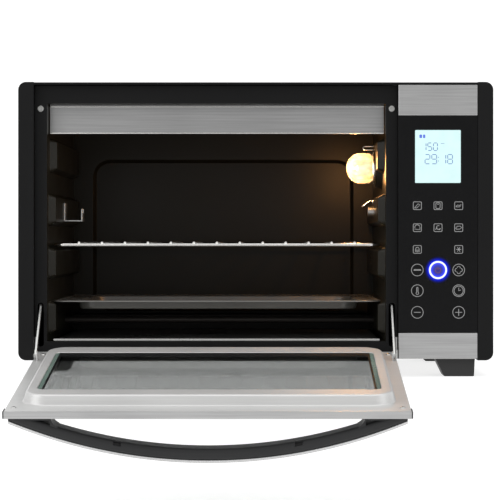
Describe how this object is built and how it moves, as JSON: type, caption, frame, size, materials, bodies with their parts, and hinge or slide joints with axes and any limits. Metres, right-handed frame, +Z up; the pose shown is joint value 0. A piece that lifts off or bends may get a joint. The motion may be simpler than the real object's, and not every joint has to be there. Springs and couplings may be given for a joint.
{
  "type": "toaster oven",
  "caption": "Countertop electric toaster oven with a drop-down glass door, bow handle, wire rack, baking tray, crumb tray, inside lamp and a touch control panel.",
  "frame": {"origin": "on the plane that the feet stand on, under the middle of the casing", "axes": "+X to the right as seen from the front, +Y to the back, +Z up; the door opens towards -Y"},
  "size_m": [0.54, 0.6694, 0.4036],
  "materials": {
    "case_black": "satin black powder coat",
    "bezel_black": "satin black",
    "enamel_dark": "dark enamel with a dull sheen",
    "satin_steel": "satin, brushed lengthways",
    "bright_steel": "bright plated wire",
    "zinc_steel": "zinc plated",
    "door_steel": "silver coated sheet",
    "clear_glass": "clear, green at its edge",
    "printed_glass": "clear with a black printed border",
    "lamp_glass": "moulded clear glass, lit from inside",
    "lamp_glow": "lit filament bulb",
    "handle_plastic": "charcoal moulded plastic with fine grain",
    "handle_silver": "silver foil strip",
    "heater_metal": "oxidised steel sheath",
    "ceramic": "unglazed ceramic",
    "touch_glass": "gloss black with grey key marks",
    "lcd_face": "lit pale blue display",
    "key_light": "blue lit ring",
    "board_green": "printed circuit board",
    "motor_steel": "plated motor can",
    "rubber_black": "moulded black",
    "bumper_grey": "light grey silicone",
    "fan_alloy": "plain aluminium"
  },
  "bodies": {
    "case": {"side_panel_left": "case_black", "side_panel_right": "case_black", "top_cover": "case_black", "base_pan": "zinc_steel", "back_panel": "case_black", "front_frame": "case_black", "feet": "rubber_black", "foot_screws": "zinc_steel", "cover_screws": "zinc_steel", "cord_gland": "rubber_black", "door_bumpers": "bumper_grey", "cavity_side_left": "enamel_dark", "cavity_side_right": "enamel_dark", "cavity_floor": "enamel_dark", "cavity_ceiling": "enamel_dark", "cavity_back": "enamel_dark", "heater_shield": "satin_steel", "lower_heaters": "heater_metal", "upper_heaters": "heater_metal", "heater_insulators": "ceramic", "lamp_glass": "lamp_glass", "lamp_collar": "bright_steel", "lamp_bulb": "lamp_glow", "lamp_socket": "ceramic", "spit_bracket": "zinc_steel", "spit_motor": "motor_steel", "fan_housing": "zinc_steel", "fan_motor": "motor_steel", "temperature_probe": "bright_steel", "control_housing": "bezel_black", "control_plate_top": "satin_steel", "control_plate_bottom": "satin_steel", "touch_panel": "touch_glass", "lcd_display": "lcd_face", "power_key_light": "key_light", "control_board": "board_green", "power_board": "board_green", "terminal_block": "ceramic", "hinge_brackets": "zinc_steel", "door_springs": "zinc_steel"},
    "door": {"door_inner_panel": "door_steel", "inner_glass": "clear_glass", "outer_glass": "printed_glass", "door_trim_top": "satin_steel", "door_trim_bottom": "satin_steel", "door_end_caps": "handle_plastic", "door_screws": "zinc_steel", "handle_grip": "handle_plastic", "handle_strip": "handle_silver", "handle_screws": "zinc_steel", "hinge_pins": "zinc_steel", "link_pins": "zinc_steel"},
    "hinge_link_left": {"hinge_link_left": "zinc_steel"},
    "hinge_link_right": {"hinge_link_right": "zinc_steel"},
    "wire_rack": {"wire_rack": "bright_steel"},
    "baking_tray": {"baking_tray": "enamel_dark"},
    "crumb_tray": {"crumb_tray": "satin_steel"},
    "fan": {"fan_blade": "fan_alloy"},
    "spit_drive": {"spit_socket": "zinc_steel"}
  },
  "joints": [
    {"name": "door_hinge", "type": "hinge", "parent": "case", "child": "door", "pos_m": [0, -0.178, 0.025], "axis": [1, 0, 0], "range_deg": [-98.1, 0]},
    {"name": "left_link_pivot", "type": "hinge", "parent": "door", "child": "hinge_link_left", "pos_m": [-0.2457, -0.22368, 0.02658], "axis": [1, 0, 0], "range_deg": [0, 54], "deforming": ["door_springs"]},
    {"name": "right_link_pivot", "type": "hinge", "parent": "door", "child": "hinge_link_right", "pos_m": [0.15525, -0.22368, 0.02658], "axis": [1, 0, 0], "range_deg": [0, 54]},
    {"name": "rack_slide", "type": "slide", "parent": "case", "child": "wire_rack", "axis": [0, -1, 0], "range_m": [0, 0.22]},
    {"name": "tray_slide", "type": "slide", "parent": "case", "child": "baking_tray", "axis": [0, -1, 0], "range_m": [0, 0.21]},
    {"name": "crumb_tray_slide", "type": "slide", "parent": "case", "child": "crumb_tray", "axis": [0, -1, 0], "range_m": [0, 0.24]},
    {"name": "fan_spin", "type": "hinge", "parent": "case", "child": "fan", "pos_m": [0.16, 0.03, 0.129], "axis": [1, 0, 0], "continuous": true},
    {"name": "spit_drive_spin", "type": "hinge", "parent": "case", "child": "spit_drive", "pos_m": [0.145, -0.0475, 0.19], "axis": [1, 0, 0], "continuous": true}
  ],
  "couplings": [
    {"joint": "left_link_pivot", "follows": "door_hinge", "ratio": -0.55},
    {"joint": "right_link_pivot", "follows": "door_hinge", "ratio": -0.55}
  ]
}
